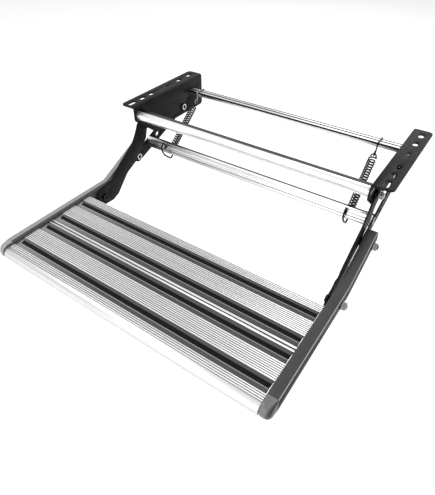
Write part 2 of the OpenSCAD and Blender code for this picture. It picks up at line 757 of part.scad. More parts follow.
// Lower pivots: bolts through both walls of the rail, with bushes between the walls
module rail_bushes() {
  color("#b4b6b8") both() for (p = [low_front, low_rear]) difference() {
    rod(p, half_w + rail_t, rail_out - rail_t, bush_r - 1);
    rod(p, half_w, rail_out, bore_r);
  }
}
module rail_bolt(p, x_head, head_h, r) {
  difference() {
    union() {
      rod(p, x_head, x_head + head_h, r);
      rod(p, x_head + head_h, rail_out + washer_t + nut_h + 2, shank_r);
    }
    rod(p, x_head - 1, x_head + min(dish_t, head_h / 2), r - bush_r + dish_r);
  }
}
module lower_front_bolts()
  color("#c9cbcc") both() rail_bolt(low_front, arm_x - stop_gap - bolt_head_h, bolt_head_h, bush_r);
module lower_front_spacers() {
  color("#b4b6b8") both() difference() {
    rod(low_front, arm_x + arm_t + bolt_play, half_w, bush_r);
    rod(low_front, arm_x, half_w + 1, bore_r);
  }
}
module lower_front_nuts() color("#c9cbcc") both() nut_and_washer(low_front, rail_out);
// The head beside the front arm's rear edge is the stop of the open step
module lower_rear_bolts() {
  color("#c9cbcc") both() rail_bolt(low_rear, link_x - stop_gap - arm_t, arm_t, stop_r);
}
module lower_rear_nuts() color("#c9cbcc") both() nut_and_washer(low_rear, rail_out);

// Spring hooks: the upper ones lie over the rear rail and its rounded corners
function over_corner(y, start) =
  arc([y, rear_rail_top - rear_rail_r], rear_rail_r + hook_seat, start, start + 90, 2);
upper_hook = concat(
  smooth(concat(
    [[rear_rail_y + rear_rail_w / 2 + hook_seat, -rear_rail_z + 1]],
    over_corner(rear_rail_y + rear_rail_w / 2 - rear_rail_r, 0),
    [[rear_rail_y, rear_rail_top + hook_seat]],
    over_corner(rear_rail_front + rear_rail_r, 90),
    [[rear_rail_front - hook_seat, -rear_rail_z]]
  ), 3),
  arc(top_eye, eye_mid_r, 0, -265, 14)
);
module upper_hooks() {
  color("#3c3e40") {
    wire(at_x(left_top_x, upper_hook), hook_r, [1, 0, 0]);
    wire(at_x(right_top_x, upper_hook), hook_r, [1, 0, 0]);
  }
}
// The lower ones pass under the lower bar, up its front and bend back to its face
bar_front = -low_bar_w / 2 - hook_r;
bar_low = -low_bar_h / 2 - hook_r;
bar_side = [[-0.5, -1.5], [-0.7, 4], [-3, 9.5], [-6.9, 11.9], [-11, 9.3], [-12.8, 2.9], [-8.8, -7.8]];
bar_under = [[6.5, -12.7], [13.5, -16], [20, -11], [22, -3]];
// The two routes above are drawn for a bar 24 high
hook_scale = low_bar_h / 24;
low_hook_path = [
  for (q = smooth(concat(
    [for (p = bar_side) [bar_front, 0] + hook_scale * p],
    [[bar_front, bar_low] + hook_scale * [0.7, -4.2]],
    [for (p = bar_under) [0, bar_low] + hook_scale * p]
  ), 3)) bar_c + turn(q, -low_bar_lean)
];
lower_hook = concat(low_hook_path, arc(low_eye, eye_mid_r, -15, 225, 12));
module lower_hooks() {
  color("#3c3e40") {
    wire(at_x(left_foot_x, lower_hook), hook_r, [1, 0, 0]);
    wire(at_x(right_foot_x, lower_hook), hook_r, [1, 0, 0]);
  }
}

// Springs, drawn along their own length: end loop, bend into the coil, curls
bend_in = coil_r / 3;
coil_start = 2 * spring_loop_r + bend_in / 2;
first_a = asin(bend_in / coil_r);
function spring_half(length) =
  let (pitch = (length - 2 * coil_start) / (spring_curls - 2 * first_a / 360))
  concat(
    [for (i = [0 : 8]) let (a = -150 + 30 * i) spring_loop_r * [1 - cos(a), sin(a), 0]],
    [for (i = [1 : 2]) [
      spring_loop_r + (coil_start - bend_in - spring_loop_r) * i / 2,
      spring_loop_r + (coil_r - spring_loop_r) * i / 2, 0
    ]],
    [for (i = [0 : floor(spring_curls * 4 - first_a / 45)])
      let (a = first_a + 45 * i)
      [coil_start + pitch * (a - first_a) / 360, coil_r * cos(a), coil_r * sin(a)]]
  );
function spring_path(length) =
  let (h = spring_half(length), n = len(h))
  concat(h, [for (i = [n - 1 : -1 : 0]) [length - h[i].x, h[i].y, -h[i].z]]);
function spring_world(from, to) =
  let (axis = unit(to - from), u = square_to([1, 0, 0], axis), v = cross(axis, u))
  [for (p = spring_path(norm(to - from))) from + p.x * axis + p.y * u + p.z * v];
left_path = spring_world([left_top_x, anchor.x, anchor.y], [left_foot_x, foot.x, foot.y]);
right_path = spring_world([right_top_x, anchor.x, anchor.y], [right_foot_x, foot.x, foot.y]);
// Least gap of a tube to itself, between rings more than five apart
function least_gap(p, r) = min([
  for (i = [0 : len(p) - 7]) min([for (j = [i + 6 : len(p) - 1]) norm(p[i] - p[j])])
]) - 2 * r;
echo(left_spring_gap = least_gap(left_path, spring_r));
echo(right_spring_gap = least_gap(right_path, spring_r));
echo(fold_a = fold_a, arm_ratio = arm_turn / fold_a);
echo(spring_ratio = spring_turn / fold_a, spring_keep = spring_keep);
echo(top_rear = top_rear, low_rear = low_rear, top_front = top_front, low_front = low_front);
echo(anchor = anchor, foot = foot, stop_r = stop_r, tail_a = tail_a);
module left_spring() color("#b9bbbc") wire(left_path, spring_r, [0, 1, 0]);
module right_spring() color("#b9bbbc") wire(right_path, spring_r, [0, 1, 0]);

left_bracket();
right_bracket();
front_rail();
rear_rail();
front_rail_screws();
rear_rail_screws();
rear_pivot_bolts();
rear_pivot_spacers();
rear_pivot_nuts();
front_pivot_bolts();
upper_hooks();
left_rear_link();
right_rear_link();
lower_bar();
lower_bar_screws();
lower_hooks();
tread_deck();
grip_strip_1();
grip_strip_2();
grip_strip_3();
grip_strip_4();
left_side_rail();
right_side_rail();
left_end_cap();
right_end_cap();
deck_screws();
rail_bushes();
lower_front_bolts();
lower_front_spacers();
lower_front_nuts();
lower_rear_bolts();
lower_rear_nuts();
left_front_arm();
left_arm_stud();
left_arm_nut();
right_front_arm();
right_arm_stud();
right_arm_nut();
left_spring();
right_spring();
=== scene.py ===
"""Caravan pull out step: materials, wire pieces, moulded caps, light and camera."""

import json
from math import asin, atan2, cos, floor, pi, radians, sin

import bmesh
import bpy
from mathutils import Matrix, Vector


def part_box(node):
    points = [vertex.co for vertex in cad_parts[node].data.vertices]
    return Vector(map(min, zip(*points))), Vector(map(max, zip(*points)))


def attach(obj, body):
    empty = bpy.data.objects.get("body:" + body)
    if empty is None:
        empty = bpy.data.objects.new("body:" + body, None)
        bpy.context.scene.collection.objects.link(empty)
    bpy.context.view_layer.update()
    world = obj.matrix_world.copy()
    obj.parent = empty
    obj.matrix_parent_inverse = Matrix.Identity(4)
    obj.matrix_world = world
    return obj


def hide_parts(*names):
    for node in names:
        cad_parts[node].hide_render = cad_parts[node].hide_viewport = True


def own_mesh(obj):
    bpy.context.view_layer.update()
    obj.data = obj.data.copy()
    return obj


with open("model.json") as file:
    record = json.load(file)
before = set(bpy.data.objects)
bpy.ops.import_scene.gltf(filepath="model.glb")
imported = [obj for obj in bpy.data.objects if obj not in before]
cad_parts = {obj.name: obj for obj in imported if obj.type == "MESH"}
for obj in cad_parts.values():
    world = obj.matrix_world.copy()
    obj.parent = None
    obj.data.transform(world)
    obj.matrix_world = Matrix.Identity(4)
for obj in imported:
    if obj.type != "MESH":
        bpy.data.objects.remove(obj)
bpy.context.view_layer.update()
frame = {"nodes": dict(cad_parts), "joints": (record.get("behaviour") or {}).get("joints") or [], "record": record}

MM = 0.001
SLOT_OF = {part["node"]: part["material_slot"] for part in frame["record"]["subparts"]}
JOINT_AT = {joint["name"]: Vector(joint["pos_m"]) for joint in frame["joints"]}

# Camera, in metres and degrees, at the photograph's viewing angle
CAMERA_AT = Vector((0.3935, -0.7712, 0.3945))
CAMERA_TURN = radians(34.536)
CAMERA_LIFT = radians(41.654)
CAMERA_ROLL = radians(-0.034)
CAMERA_LENS = 31.468
SENSOR_HEIGHT = 36


def make_camera():
    back = Vector((
        sin(CAMERA_TURN) * cos(CAMERA_LIFT),
        -cos(CAMERA_TURN) * cos(CAMERA_LIFT),
        sin(CAMERA_LIFT),
    ))
    level = Vector((cos(CAMERA_TURN), sin(CAMERA_TURN), 0))
    upward = back.cross(level)
    right = cos(CAMERA_ROLL) * level + sin(CAMERA_ROLL) * upward
    up = cos(CAMERA_ROLL) * upward - sin(CAMERA_ROLL) * level
    data = bpy.data.cameras.new("camera")
    data.lens = CAMERA_LENS
    data.sensor_fit = "VERTICAL"
    data.sensor_height = SENSOR_HEIGHT
    camera = bpy.data.objects.new("camera", data)
    turn = Matrix((right, up, back)).transposed().to_4x4()
    camera.matrix_world = Matrix.Translation(CAMERA_AT) @ turn
    bpy.context.collection.objects.link(camera)
    bpy.context.scene.camera = camera


# Lower bar and the springs' ends, in Y and Z and in millimetres
BAR_W = 12
BAR_H = 24
BAR_LEAN = radians(10)
BAR_FROM_PIVOT = Vector((41, 22.5))
FOOT_FROM_BAR = Vector((14, -13.5))

low_pivot = JOINT_AT["tread_level"].yz / MM
anchor = JOINT_AT["left_spring_swing"].yz / MM
bar_centre = low_pivot + BAR_FROM_PIVOT
bar_turn = Matrix.Rotation(-BAR_LEAN, 2)
foot = bar_centre + FOOT_FROM_BAR
pull = (anchor - foot).normalized()


def rear_edge(node):
    """Point on a square rail's top rear edge, in metres."""
    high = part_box(node)[1]
    return Vector((0, high.y, high.z))


def bar_rear_edge():
    """Point on the leaning lower bar's top rear edge, in metres."""
    corner = bar_centre + bar_turn @ Vector((BAR_W / 2, BAR_H / 2))
    return Vector((0, *corner)) * MM


# Dark lines painted on the cross rails as reflections of dark surroundings and as shade in grooves and steps, in
# millimetres: start, end and grey
FRONT_TOP = [(-0.5, 12.3, 0.02), (18.2, 22, 0.7)]
REAR_TOP = [(2.9, 20.2, 0.75), (-0.5, 4.4, 0.02), (9.2, 14, 0.03), (19.8, 24.5, 0.01)]
BAR_TOP = [(-0.5, 8.5, 0.01)]
BAR_FRONT = [(2.3, 3.5, 0.5), (10.2, 11.4, 0.6), (15.3, 17, 0.2), (21.6, 23.4, 0.4)]
FRONT_RAIL_W = 22
REAR_RAIL_W = 24

# Other painted places in millimetres; a pair is a start and an end
BAND_BLUR = 0.1
PAST_EDGE = 1
TOP_FACE = (-1, 2.2)
FRONT_FACE = (-1.5, 1)
# depths below the rib tops where the deck's grooves take painted shade
GROOVE_DEPTH = (0.078, 1.3)
NOSE_SHADE = (-0.7, 0.1)  # shares of the nose's radius
LAND_BORDER = 1.4
HALF_LAND_LINE = 0.8
TOP_HIGHLIGHT = 11
EDGE_HIGHLIGHT = 2.4
# the right rail's outer face, painted darker as shade
OUTER_SKIN = (-1.2, -1.0)
BEND_BACK = 26
TAIL_COVER = 22.8
CHANNEL = (-3.4, 5.2)
CHANNEL_DEPTH = (-1.1, -0.5)
# where the rubber strips' painted lip highlight runs
LIP_AT = -3.9
LIP_FADE = (0.6, 0.9)
CAP_LINE = (-4, -2.5)
# inner bolt heads, painted dark in their centres as shade
HEAD_X = 270
HEAD_FADE = 0.2
DISH_R = 5.1
DISH_FADE = 0.4
# the lower front bolts' inner heads take the painted shade over their whole face
WHOLE_HEAD_R = 20


# Materials
class Look:
    """A material, with short calls for the texture nodes that feed its shader."""

    def __init__(self, name, metallic=0.0, roughness=0.5):
        self.material = bpy.data.materials.new(name)
        self.material.use_nodes = True
        self.tree = self.material.node_tree
        self.shader = self.tree.nodes["Principled BSDF"]
        self.shader.inputs["Metallic"].default_value = metallic
        self.shader.inputs["Roughness"].default_value = roughness
        self.place = self.node("ShaderNodeTexCoord").outputs["Object"]

    def node(self, kind, **settings):
        made = self.tree.nodes.new(kind)
        for key, value in settings.items():
            setattr(made, key, value)
        return made

    def link(self, source, target):
        self.tree.links.new(source, target)

    def set(self, socket, value):
        self.link(value, self.shader.inputs[socket])

    def noise(self, scale, stretch=(1, 1, 1), detail=3.0):
        """Noise with so many features to the metre, closer along an axis where stretch is larger."""
        mapping = self.node("ShaderNodeMapping")
        mapping.inputs["Scale"].default_value = stretch
        texture = self.node("ShaderNodeTexNoise")
        texture.inputs["Scale"].default_value = scale
        texture.inputs["Detail"].default_value = detail
        self.link(self.place, mapping.inputs["Vector"])
        self.link(mapping.outputs["Vector"], texture.inputs["Vector"])
        return texture.outputs["Fac"]

    def maths(self, operation, first, second=0):
        made = self.node("ShaderNodeMath", operation=operation)
        for socket, value in zip(made.inputs, (first, second)):
            if isinstance(value, (int, float)):
                socket.default_value = value
            else:
                self.link(value, socket)
        return made.outputs["Value"]

    def times(self, first, second):
        return self.maths("MULTIPLY", first, second)

    def span(self, value, start, end, low=0.0, high=1.0):
        """Value from start to end becomes low to high, and stays there beyond."""
        made = self.node("ShaderNodeMapRange")
        for socket, number in zip(("From Min", "From Max", "To Min", "To Max"), (start, end, low, high)):
            made.inputs[socket].default_value = number
        self.link(value, made.inputs["Value"])
        return made.outputs["Result"]

    def shade(self, value, low=0.0, high=1.0):
        """Low to high over the middle of a noise."""
        return self.span(value, 0.3, 0.7, low, high)

    def fade(self, value, start, end, low=0.0, high=1.0):
        """Low to high over a distance in metres between two places in millimetres."""
        return self.span(value, start * MM, end * MM, low, high)

    def band(self, value, start, end):
        """1 where a distance in metres lies between two places in millimetres, else 0."""
        rise = self.fade(value, start - BAND_BLUR, start + BAND_BLUR)
        fall = self.fade(value, end - BAND_BLUR, end + BAND_BLUR, 1, 0)
        return self.times(rise, fall)

    def axis(self, name, vector=None):
        """One coordinate of a vector, or of the place on the piece in metres."""
        split = self.node("ShaderNodeSeparateXYZ")
        self.link(vector or self.place, split.inputs["Vector"])
        return split.outputs[name]

    def away(self, origin, way):
        """Metres from a point along a direction."""
        made = self.node("ShaderNodeVectorMath", operation="DOT_PRODUCT")
        self.link(self.place, made.inputs[0])
        made.inputs[1].default_value = way
        return self.maths("SUBTRACT", made.outputs["Value"], origin.dot(way))

    def off_line(self, point):
        """Metres from a line along X through a point."""
        flat = self.node("ShaderNodeMapping")
        flat.inputs["Scale"].default_value = (0, 1, 1)
        self.link(self.place, flat.inputs["Vector"])
        made = self.node("ShaderNodeVectorMath", operation="DISTANCE")
        self.link(flat.outputs["Vector"], made.inputs[0])
        made.inputs[1].default_value = (0, point.y, point.z)
        return made.outputs["Value"]

    def looking(self, name):
        """How squarely a face looks along an axis: 1 ahead, -1 backwards."""
        return self.axis(name, self.node("ShaderNodeNewGeometry").outputs["Normal"])

    def hollows(self, reach, local=True):
        """1 in the open, less in grooves and corners, over a reach in millimetres."""
        made = self.node("ShaderNodeAmbientOcclusion", samples=8, only_local=local)
        made.inputs["Distance"].default_value = reach * MM
        return made.outputs["AO"]

    def mix(self, factor, first, second):
        """Colour from first to second; each is a grey value, a colour or a socket."""
        made = self.node("ShaderNodeMix", data_type="RGBA")
        self.link(factor, made.inputs["Factor"])
        for socket, value in ((made.inputs[6], first), (made.inputs[7], second)):
            if isinstance(value, (int, float)):
                value = (value, value, value * 1.01)
            if isinstance(value, tuple):
                socket.default_value = (*value, 1)
            else:
                self.link(value, socket)
        return made.outputs[2]

    def paint(self, colour, grey, mask, other):
        """A grey over a colour where two masks are both 1."""
        return self.mix(self.times(mask, other), colour, grey)

    def bump(self, height, depth):
        """Relief of a height from 0 to 1 over a depth in millimetres."""
        made = self.node("ShaderNodeBump")
        made.inputs["Distance"].default_value = depth * MM
        self.link(height, made.inputs["Height"])
        self.set("Normal", made.outputs["Normal"])


def powder_coat(name, dark, light):
    """Satin black coat: orange peel, faint clouds and a few pale scuffs."""
    look = Look(name)
    look.shader.inputs["Specular IOR Level"].default_value = 0.08
    clouds = look.noise(22, detail=4)
    peel = look.noise(650, detail=2)
    scuffs = look.span(look.noise(90, (1, 5, 2), 5), 0.66, 0.74)
    coat = look.mix(look.span(clouds, 0.35, 0.65), dark, light)
    look.set("Base Color", look.paint(coat, 0.08, scuffs, 0.25))
    look.set("Roughness", look.shade(clouds, 0.42, 0.56))
    look.bump(peel, 0.05)
    return look.material


def extruded(name, dark, light, roughness):
    """Bright extruded aluminium, fine die lines along X and faint clouds, and its colour."""
    look = Look(name, metallic=1.0)
    lines = look.noise(1, (4, 1800, 1800), 2)
    broad = look.noise(1, (3, 260, 260), 2)
    clouds = look.noise(9, detail=3)
    tone = look.times(look.shade(broad), look.span(clouds, 0.2, 0.7, 0.75, 1))
    look.set("Roughness", look.shade(lines, roughness - 0.06, roughness + 0.08))
    look.bump(lines, 0.02)
    return look, look.mix(tone, dark, light)


def rail_with_painted_shade(node, edge, lean, width, tops, fronts):
    """Aluminium with dark lines of painted reflection and shade: on top from the rear edge forward, in front from
    the top down.
    """
    look, colour = extruded(node + "_aluminium", 0.86, 0.98, 0.3)
    down = look.away(edge, Vector((0, -sin(lean), -cos(lean))))
    ahead = look.away(edge, Vector((0, -cos(lean), sin(lean))))
    on_top = look.band(down, *TOP_FACE)
    in_front = look.band(ahead, width + FRONT_FACE[0], width + FRONT_FACE[1])
    for lines, place, face in ((tops, ahead, on_top), (fronts, down, in_front)):
        for start, end, grey in lines:
            # each line lays a grey of painted reflection and shade over the aluminium
            colour = look.paint(colour, grey, look.band(place, start, end), face)
    look.set("Base Color", colour)
    return look.material


def ribbed_deck():
    """Tread aluminium: painted shade in the grooves and on the lower nose, and dark lines on the narrow land."""
    look, colour = extruded("tread_aluminium", 0.76, 0.92, 0.36)
    low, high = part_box("tread_deck")
    nose_r = (high.z - low.z) / 2
    centre = Vector((0, low.y + nose_r, low.z + nose_r))
    ahead = look.maths("MINIMUM", look.away(centre, Vector((0, 1, 0))), 0)
    above = look.away(centre, Vector((0, 0, 1)))
    radius = look.maths("SQRT", look.maths("ADD", look.times(ahead, ahead), look.times(above, above)))
    depth = look.maths("SUBTRACT", nose_r, radius)
    # painted shade over the lower half of the nose
    under_shade = look.span(above, nose_r * NOSE_SHADE[0], nose_r * NOSE_SHADE[1], 1, 0)
    colour = look.mix(under_shade, colour, 0.56)
    boxes = sorted((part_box("grip_strip_2"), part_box("grip_strip_3")), key=lambda box: box[0].y)
    front, rear = boxes[0][1].y / MM, boxes[1][0].y / MM
    middle = (front + rear) / 2
    lines = (
        (front, front + LAND_BORDER),
        (middle - HALF_LAND_LINE, middle + HALF_LAND_LINE),
        (rear - LAND_BORDER, rear),
    )
    across = look.axis("Y")
    for start, end in lines:
        colour = look.mix(look.band(across, start, end), colour, 0.07)
    # painted shade in the grooves, by depth below the rib tops
    look.set("Base Color", look.mix(look.band(depth, *GROOVE_DEPTH), colour, 0.006))
    return look.material


def rail_slope(bend):
    """Angle of the right rail's tail above its bend, in radians."""
    reach = JOINT_AT["tread_level"] - bend
    return atan2(reach.z, reach.y) + asin(TAIL_COVER * MM / reach.length)


def rail_paint(side):
    """Dark grey satin paint with a fine grain: a painted highlight line on the right rail's edge, painted shade on
    its outer face, and a painted highlight on the left top.
    """
    look = Look(side + "_rail_paint")
    look.shader.inputs["Specular IOR Level"].default_value = 0.35
    grain = look.noise(900, detail=2)
    clouds = look.noise(16, detail=4)
    coat = look.mix(look.shade(clouds), 0.04, 0.056)
    low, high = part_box(side + "_side_rail")
    if side == "left":
        # the left rail's outer top painted pale as a highlight
        level = look.shade(look.maths("ABSOLUTE", look.looking("X")), 1, 0)
        outer = look.band(look.axis("X"), low.x / MM - PAST_EDGE, low.x / MM + TOP_HIGHLIGHT)
        coat = look.paint(coat, 0.31, outer, level)
    else:
        bend = Vector((0, JOINT_AT["left_arm_swing"].y + BEND_BACK * MM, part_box("right_end_cap")[1].z))
        lift = rail_slope(bend)
        below_front = look.away(bend, Vector((0, 0, -1)))
        below_tail = look.away(bend, Vector((0, sin(lift), -cos(lift))))
        # a painted highlight along the right rail's rounded top edge
        line = look.band(look.maths("MAXIMUM", below_front, below_tail), -PAST_EDGE, EDGE_HIGHLIGHT)
        outer = look.fade(look.axis("X"), high.x / MM + OUTER_SKIN[0], high.x / MM + OUTER_SKIN[1])
        # the outer face painted darker as shade, with the painted highlight line on it
        coat = look.paint(look.mix(outer, coat, 0.03), 0.42, line, outer)
        look.set("Specular IOR Level", look.span(outer, 0, 1, 0.35, 0.02))
    look.set("Base Color", look.mix(look.span(grain, 0.6, 0.72, 0, 0.25), coat, 0.16))
    look.set("Roughness", look.shade(clouds, 0.38, 0.5))
    look.bump(grain, 0.03)
    return look.material


def strip_rubber(node):
    """Black rubber: a dark channel along the middle, a painted highlight on the front lip, and a painted sheen
    growing paler to the left.
    """
    low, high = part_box(node)
    middle = (low.y + high.y) / 2 / MM
    look = Look(node + "_rubber")
    grain = look.noise(1300, detail=3)
    dust = look.noise(30, (0.5, 3, 1), 4)
    across = look.axis("Y")
    # a painted sheen, growing paler towards the left
    leftward_sheen = look.span(look.axis("X"), 0, low.x)
    leftward_sheen = look.times(leftward_sheen, leftward_sheen)
    front = look.band(across, low.y / MM, middle + CHANNEL[0])
    body = look.mix(look.span(dust, 0.3, 0.75), 0.052, 0.074)
    body = look.paint(body, 0.13, leftward_sheen, 0.6)
    body = look.paint(body, 0.25, leftward_sheen, front)
    top = high.z / MM
    deep = look.fade(look.axis("Z"), top + CHANNEL_DEPTH[0], top + CHANNEL_DEPTH[1], 1, 0)
    channel = look.maths("MAXIMUM", deep, look.band(across, middle + CHANNEL[0], middle + CHANNEL[1]))
    # a painted highlight along the channel's front lip
    beside = look.maths("ABSOLUTE", look.maths("SUBTRACT", across, (middle + LIP_AT) * MM))
    lip_highlight = look.fade(beside, *LIP_FADE, 0.9, 0)
    look.set("Base Color", look.mix(lip_highlight, look.mix(channel, body, 0.011), 0.45))
    look.set("Roughness", look.shade(dust, 0.5, 0.68))
    look.set("Specular IOR Level", look.span(channel, 0, 1, 0.4, 0.06))
    look.bump(grain, 0.06)
    return look.material


def cap_plastic(side):
    """Grey moulded plastic: the right cap with painted shade on its outward side, the left one painted paler as
    lit, with a dark inner line.
    """
    look = Look(side + "_cap_plastic")
    clouds = look.noise(40, detail=4)
    grain = look.noise(1100, detail=2)
    if side == "left":
        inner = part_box(side + "_end_cap")[1].x / MM
        inside = look.fade(look.axis("X"), inner + CAP_LINE[0], inner + CAP_LINE[1])
        # the left cap painted paler than the right as lit
        colour = look.mix(inside, look.mix(look.shade(clouds), 0.3, 0.38), 0.03)
    else:
        # the right cap's outward faces painted darker as shade
        outward = look.span(look.looking("X"), 0.1, 0.6)
        colour = look.mix(outward, look.mix(look.shade(clouds), 0.15, 0.2), 0.06)
        look.set("Specular IOR Level", look.span(outward, 0, 1, 0.5, 0.1))
    look.set("Base Color", colour)
    look.set("Roughness", look.shade(clouds, 0.26, 0.36))
    look.bump(grain, 0.02)
    return look.material


def zinc(name, dark, light, rim=None, dished=None, dish_r=DISH_R):
    """Zinc plate with painted shade in corners; rims may have their own grey, and a node's inner heads painted
    shade in their centres.
    """
    look = Look(name, metallic=1.0)
    clouds = look.noise(160, detail=5)
    marks = look.noise(2200, (0.3, 1, 1), 2)
    # painted shade in corners and where parts lie close
    clear = look.span(look.hollows(3.5, local=False), 0.35, 0.85)
    colour = look.mix(clear, 0.05, look.mix(look.shade(clouds), dark, light))
    if rim:
        flat = look.span(look.maths("ABSOLUTE", look.looking("X")), 0.4, 0.9)
        colour = look.mix(flat, rim, colour)
    if dished:
        low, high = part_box(dished)
        # painted shade in the centres of the inner heads
        centre = look.fade(look.off_line((low + high) / 2), dish_r - DISH_FADE, dish_r, 1, 0)
        inner = look.fade(look.maths("ABSOLUTE", look.axis("X")), HEAD_X, HEAD_X + HEAD_FADE, 1, 0)
        colour = look.paint(colour, 0.02, centre, inner)
    look.set("Base Color", colour)
    look.set("Roughness", look.shade(clouds, 0.2, 0.34))
    look.bump(marks, 0.01)
    return look.material


def drawn_wire(name, dark, light, crevice_shade, roughness, shine, left=None):
    """Drawn wire: streaky tone, small marks, painted shade where curls lie close; the left piece may take paler
    painted highlights.
    """
    look = Look(name)
    look.shader.inputs["Specular IOR Level"].default_value = shine
    streaks = look.noise(420, (1, 1, 0.4), 4)
    marks = look.noise(2600, detail=2)
    skin = look.mix(look.shade(streaks), dark, light)
    if left:
        # the left piece's streaks painted paler as highlights
        left_highlight = look.fade(look.axis("X"), -1, 1, 1, 0)
        skin = look.paint(skin, left, left_highlight, look.span(streaks, 0.4, 0.6, 0.3, 1))
    # painted shade where curls lie close
    look.set("Base Color", look.mix(look.span(look.hollows(4), 0.3, 0.85), crevice_shade, skin))
    look.set("Roughness", look.shade(streaks, roughness - 0.06, roughness + 0.1))
    look.bump(marks, 0.015)
    return look.material


def make_finishes():
    """Materials by node name, or by material slot for the nodes without their own."""
    finishes = {
        "black_steel": powder_coat("black_coat", 0.008, 0.014),
        "black_link": powder_coat("link_coat", 0.008, 0.014),
        "left_side_rail": rail_paint("left"),
        "right_side_rail": rail_paint("right"),
        "tread_aluminium": ribbed_deck(),
        "front_rail": rail_with_painted_shade("front_rail", rear_edge("front_rail"), 0, FRONT_RAIL_W, FRONT_TOP, []),
        "rear_rail": rail_with_painted_shade("rear_rail", rear_edge("rear_rail"), 0, REAR_RAIL_W, REAR_TOP, []),
        "lower_bar": rail_with_painted_shade("lower_bar", bar_rear_edge(), BAR_LEAN, BAR_W, BAR_TOP, BAR_FRONT),
        "left_end_cap": cap_plastic("left"),
        "right_end_cap": cap_plastic("right"),
        "zinc_bolt": zinc("zinc_bolt", 0.5, 0.7, 0.22),
        "zinc_screw": zinc("zinc_screw", 0.55, 0.72),
        "zinc_bush": zinc("zinc_bush", 0.35, 0.5),
        "spring_steel": drawn_wire("spring_steel", 0.006, 0.02, 0.002, 0.3, 0.25),
        "dark_wire": drawn_wire("dark_wire", 0.006, 0.014, 0.004, 0.36, 0.15),
        "upper_hooks": drawn_wire("upper_hooks_wire", 0.006, 0.014, 0.004, 0.36, 0.15, left=0.45),
    }
    for bolts in ("rear_pivot_bolts", "front_pivot_bolts", "lower_rear_bolts"):
        finishes[bolts] = zinc(bolts + "_zinc", 0.6, 0.78, 0.04, bolts)
    bolts = "lower_front_bolts"
    finishes[bolts] = zinc(bolts + "_zinc", 0.5, 0.7, 0.22, bolts, WHOLE_HEAD_R)
    for strip in (name for name, slot in SLOT_OF.items() if slot == "grip_rubber"):
        finishes[strip] = strip_rubber(strip)
    return finishes


# Pieces that carry over from the frame: rounded edges, in millimetres, and a finish
EDGE = {
    "black_steel": 0.45, "black_link": 0.45, "grey_rail": 0.9,
    "rail_aluminium": 0.25, "tread_aluminium": 0.12, "grip_rubber": 0.3,
    "zinc_bolt": 0.35, "zinc_screw": 0.2, "zinc_bush": 0.3,
}
EDGE_ANGLE = radians(38)
JOIN_GAP = 0.002


def smooth(mesh):
    for face in mesh.polygons:
        face.use_smooth = True


def round_edges(thing, width):
    smooth(thing.data)
    weld = thing.modifiers.new("join", "WELD")
    weld.merge_threshold = JOIN_GAP * MM
    bevel = thing.modifiers.new("edges", "BEVEL")
    bevel.width = width * MM
    bevel.segments = 2
    bevel.limit_method = "ANGLE"
    bevel.angle_limit = EDGE_ANGLE
    bevel.harden_normals = True


def dress_frame(finishes):
    for name, thing in frame["nodes"].items():
        slot = SLOT_OF[name]
        thing.data.materials.clear()
        thing.data.materials.append(finishes.get(name) or finishes[slot])
        if slot in EDGE:
            round_edges(thing, EDGE[slot])


# Making pieces
def finish_piece(name, mesh):
    bmesh.ops.recalc_face_normals(mesh, faces=mesh.faces)
    data = bpy.data.meshes.new(name)
    mesh.to_mesh(data)
    mesh.free()
    smooth(data)
    thing = bpy.data.objects.new(name, data)
    bpy.context.collection.objects.link(thing)
    return thing


def bridge(mesh, loops):
    """Skin from each closed loop of points to the next."""
    for one, two in zip(loops, loops[1:]):
        for k in range(len(one)):
            n = (k + 1) % len(one)
            mesh.faces.new((one[k], one[n], two[n], two[k]))


def angles(start, end, steps):
    """Radians from one angle to another in degrees, both included."""
    return [radians(start + (end - start) * i / steps) for i in range(steps + 1)]


def arc(middle, radius, start, end, steps):
    return [middle + radius * Vector((cos(a), sin(a))) for a in angles(start, end, steps)]


def smooth_path(points, steps):
    """Points on a smooth curve through the given ones."""
    path = []
    for i in range(len(points) - 1):
        a, b = points[max(i - 1, 0)], points[i]
        c, d = points[i + 1], points[min(i + 2, len(points) - 1)]
        second = 2 * a - 5 * b + 4 * c - d
        third = 3 * b - a - 3 * c + d
        for k in range(steps):
            t = k / steps
            path.append(0.5 * (2 * b + (c - a) * t + second * t * t + third * t ** 3))
    return path + [points[-1]]


# Round wires
TUBE_SIDES = 12
DOME_LIFTS = (radians(60), radians(30))


def tangent(path, i):
    return (path[min(i + 1, len(path) - 1)] - path[max(i - 1, 0)]).normalized()


def tube_rings(path, radius):
    """Centre, direction, a way across and radius of each ring, with a dome at either end."""
    across = tangent(path, 0).orthogonal().normalized()
    rings = []
    for i, point in enumerate(path):
        along = tangent(path, i)
        across = (across - across.dot(along) * along).normalized()
        rings.append((point, along, across, radius))
    dome = [(radius * sin(lift), radius * cos(lift)) for lift in DOME_LIFTS]
    first, last = rings[0], rings[-1]
    start = [(first[0] - first[1] * out, first[1], first[2], r) for out, r in dome]
    finish = [(last[0] + last[1] * out, last[1], last[2], r) for out, r in reversed(dome)]
    return start + rings + finish


def tube(name, paths, radius):
    """Round wires along paths, with domed ends, as one piece."""
    mesh = bmesh.new()
    for path in paths:
        loops = []
        for point, along, across, r in tube_rings(path, radius):
            third = along.cross(across)
            loops.append([
                mesh.verts.new(point + r * (cos(a) * across + sin(a) * third))
                for a in (2 * pi * k / TUBE_SIDES for k in range(TUBE_SIDES))
            ])
        bridge(mesh, loops)
        tips = (
            (loops[0], path[0] - tangent(path, 0) * radius),
            (loops[-1], path[-1] + tangent(path, len(path) - 1) * radius),
        )
        for loop, tip_at in tips:
            tip = mesh.verts.new(tip_at)
            for k in range(TUBE_SIDES):
                mesh.faces.new((loop[k], loop[(k + 1) % TUBE_SIDES], tip))
    return finish_piece(name, mesh)


